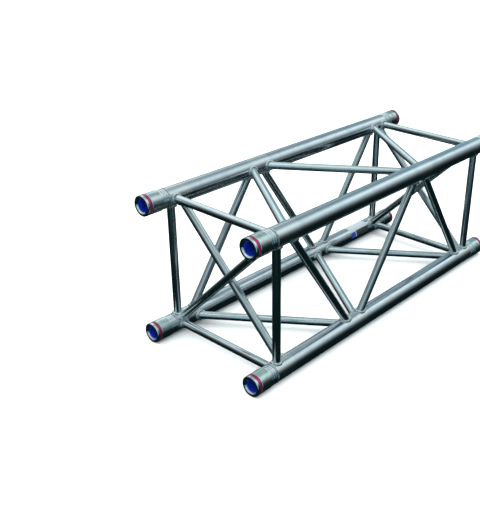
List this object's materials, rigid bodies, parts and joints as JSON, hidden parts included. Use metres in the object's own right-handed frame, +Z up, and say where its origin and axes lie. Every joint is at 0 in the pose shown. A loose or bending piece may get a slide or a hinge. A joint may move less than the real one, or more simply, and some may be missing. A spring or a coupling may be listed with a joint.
{
  "type": "lighting truss section",
  "caption": "Square box section of lighting truss: round chords, welded zigzag and cross braces, and end couplers with turning lock collars.",
  "frame": {"origin": "middle of the length and of the width, on the plane that the lower couplers rest on", "axes": "+X along the chords to the right end, +Y to the back face, +Z up"},
  "size_m": [1.01, 0.39, 0.39],
  "materials": {
    "chord_tube": "drawn tube with lengthwise polish and handling marks",
    "brace_tube": "drawn tube, slightly duller than the chords",
    "coupler_metal": "turned and polished",
    "collar_metal": "bead-blasted, matte",
    "bush_blue": "anodised, glossy deep blue",
    "ring_red": "anodised, glossy red",
    "seal_rubber": "black seal rubber",
    "label_film": "printed film, left blank",
    "weld_metal": "rippled weld bead"
  },
  "bodies": {
    "frame": {"chord_front_bottom": "chord_tube", "chord_front_top": "chord_tube", "chord_back_bottom": "chord_tube", "chord_back_top": "chord_tube", "diagonal_front_1": "brace_tube", "diagonal_front_2": "brace_tube", "diagonal_front_3": "brace_tube", "diagonal_back_1": "brace_tube", "diagonal_back_2": "brace_tube", "diagonal_back_3": "brace_tube", "diagonal_top_1": "brace_tube", "diagonal_top_2": "brace_tube", "diagonal_top_3": "brace_tube", "diagonal_bottom_1": "brace_tube", "diagonal_bottom_2": "brace_tube", "diagonal_bottom_3": "brace_tube", "post_front_left": "brace_tube", "post_back_left": "brace_tube", "rail_top_left": "brace_tube", "rail_bottom_left": "brace_tube", "post_front_right": "brace_tube", "post_back_right": "brace_tube", "rail_top_right": "brace_tube", "rail_bottom_right": "brace_tube", "cross_outer_left": "brace_tube", "cross_inner_left": "brace_tube", "cross_outer_right": "brace_tube", "cross_inner_right": "brace_tube", "coupler_left_front_bottom": "coupler_metal", "coupler_left_front_top": "coupler_metal", "coupler_left_back_bottom": "coupler_metal", "coupler_left_back_top": "coupler_metal", "coupler_right_front_bottom": "coupler_metal", "coupler_right_front_top": "coupler_metal", "coupler_right_back_bottom": "coupler_metal", "coupler_right_back_top": "coupler_metal", "bush_left_front_bottom": "bush_blue", "bush_left_front_top": "bush_blue", "bush_left_back_bottom": "bush_blue", "bush_left_back_top": "bush_blue", "bush_right_front_bottom": "bush_blue", "bush_right_front_top": "bush_blue", "bush_right_back_bottom": "bush_blue", "bush_right_back_top": "bush_blue", "indicator_rings_front_bottom": "ring_red", "indicator_rings_front_top": "ring_red", "indicator_rings_back_bottom": "ring_red", "indicator_rings_back_top": "ring_red", "blank_label": "label_film"},
    "collar_left_front_bottom": {"lock_collar_left_front_bottom": "collar_metal"},
    "collar_left_front_top": {"lock_collar_left_front_top": "collar_metal"},
    "collar_left_back_bottom": {"lock_collar_left_back_bottom": "collar_metal"},
    "collar_left_back_top": {"lock_collar_left_back_top": "collar_metal"},
    "collar_right_front_bottom": {"lock_collar_right_front_bottom": "collar_metal"},
    "collar_right_front_top": {"lock_collar_right_front_top": "collar_metal"},
    "collar_right_back_bottom": {"lock_collar_right_back_bottom": "collar_metal"},
    "collar_right_back_top": {"lock_collar_right_back_top": "collar_metal"}
  },
  "joints": [
    {"name": "lock_left_front_bottom", "type": "hinge", "parent": "frame", "child": "collar_left_front_bottom", "pos_m": [-0.4747, -0.1695, 0.0255], "axis": [1, 0, 0], "range_deg": [0, 90]},
    {"name": "lock_left_front_top", "type": "hinge", "parent": "frame", "child": "collar_left_front_top", "pos_m": [-0.4747, -0.1695, 0.3645], "axis": [1, 0, 0], "range_deg": [0, 90]},
    {"name": "lock_left_back_bottom", "type": "hinge", "parent": "frame", "child": "collar_left_back_bottom", "pos_m": [-0.4747, 0.1695, 0.0255], "axis": [1, 0, 0], "range_deg": [0, 90]},
    {"name": "lock_left_back_top", "type": "hinge", "parent": "frame", "child": "collar_left_back_top", "pos_m": [-0.4747, 0.1695, 0.3645], "axis": [1, 0, 0], "range_deg": [0, 90]},
    {"name": "lock_right_front_bottom", "type": "hinge", "parent": "frame", "child": "collar_right_front_bottom", "pos_m": [0.4747, -0.1695, 0.0255], "axis": [-1, 0, 0], "range_deg": [0, 90]},
    {"name": "lock_right_front_top", "type": "hinge", "parent": "frame", "child": "collar_right_front_top", "pos_m": [0.4747, -0.1695, 0.3645], "axis": [-1, 0, 0], "range_deg": [0, 90]},
    {"name": "lock_right_back_bottom", "type": "hinge", "parent": "frame", "child": "collar_right_back_bottom", "pos_m": [0.4747, 0.1695, 0.0255], "axis": [-1, 0, 0], "range_deg": [0, 90]},
    {"name": "lock_right_back_top", "type": "hinge", "parent": "frame", "child": "collar_right_back_top", "pos_m": [0.4747, 0.1695, 0.3645], "axis": [-1, 0, 0], "range_deg": [0, 90]}
  ]
}
